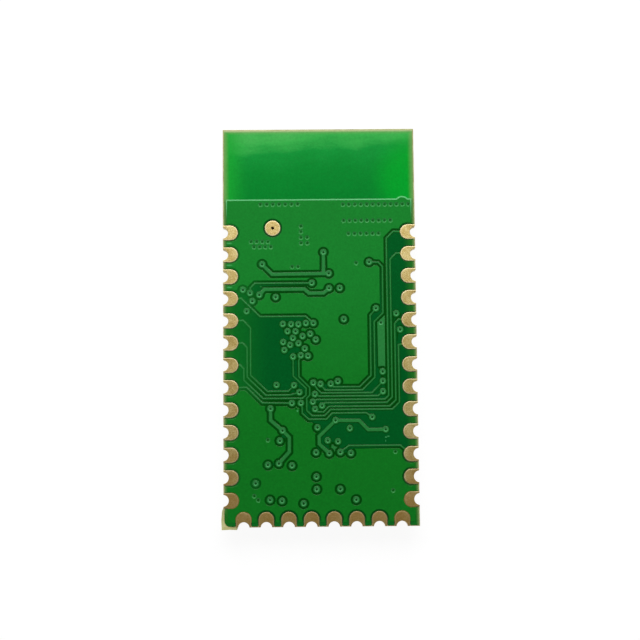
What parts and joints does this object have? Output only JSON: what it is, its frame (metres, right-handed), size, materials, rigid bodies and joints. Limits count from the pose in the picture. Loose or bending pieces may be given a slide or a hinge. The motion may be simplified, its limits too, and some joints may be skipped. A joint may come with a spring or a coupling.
{
  "type": "short-range radio module",
  "caption": "Green circuit board with plated half-hole contacts on three edges, raised tracks and a bare antenna end on its solder side, and chips on the other.",
  "frame": {"origin": "middle of the board, on the plane of the two chips' tops, which the part stands on", "axes": "+Y towards the antenna end, +Z out of the solder side, +X to the right in the picture"},
  "size_m": [0.0131, 0.0271, 0.0019],
  "materials": {
    "laminate": "glass-epoxy, cut edge",
    "solder_mask": "glossy green lacquer",
    "copper": "bare copper under lacquer",
    "gold": "gold flash over nickel, slightly grainy",
    "chip_moulding": "matte moulded epoxy",
    "solder": "bright tin",
    "crystal_ceramic": "unglazed ceramic",
    "crystal_lid": "satin plated steel",
    "filter_ceramic": "unglazed ceramic",
    "capacitor": "fired ceramic with tinned ends",
    "resistor": "black glaze with tinned ends",
    "inductor": "fired ceramic with tinned ends"
  },
  "bodies": {
    "root": {"back_copper": "copper", "back_mask": "solder_mask", "band_filter": "filter_ceramic", "band_filter_ends": "solder", "capacitor_1": "capacitor", "capacitor_2": "capacitor", "capacitor_3": "capacitor", "capacitor_4": "capacitor", "capacitor_5": "capacitor", "capacitor_6": "capacitor", "capacitor_7": "capacitor", "capacitor_8": "capacitor", "capacitor_9": "capacitor", "crystal_base": "crystal_ceramic", "crystal_lid": "crystal_lid", "end_contacts": "gold", "flash_chip": "chip_moulding", "flash_chip_balls": "solder", "front_copper": "copper", "front_mask": "solder_mask", "inductor_1": "inductor", "inductor_2": "inductor", "laminate": "laminate", "large_capacitor_1": "capacitor", "large_capacitor_2": "capacitor", "left_contacts": "gold", "radio_chip": "chip_moulding", "radio_chip_balls": "solder", "regulator_body": "chip_moulding", "regulator_leads": "solder", "resistor_1": "resistor", "resistor_2": "resistor", "resistor_3": "resistor", "right_contacts": "gold", "test_pad": "gold"}
  },
  "joints": []
}
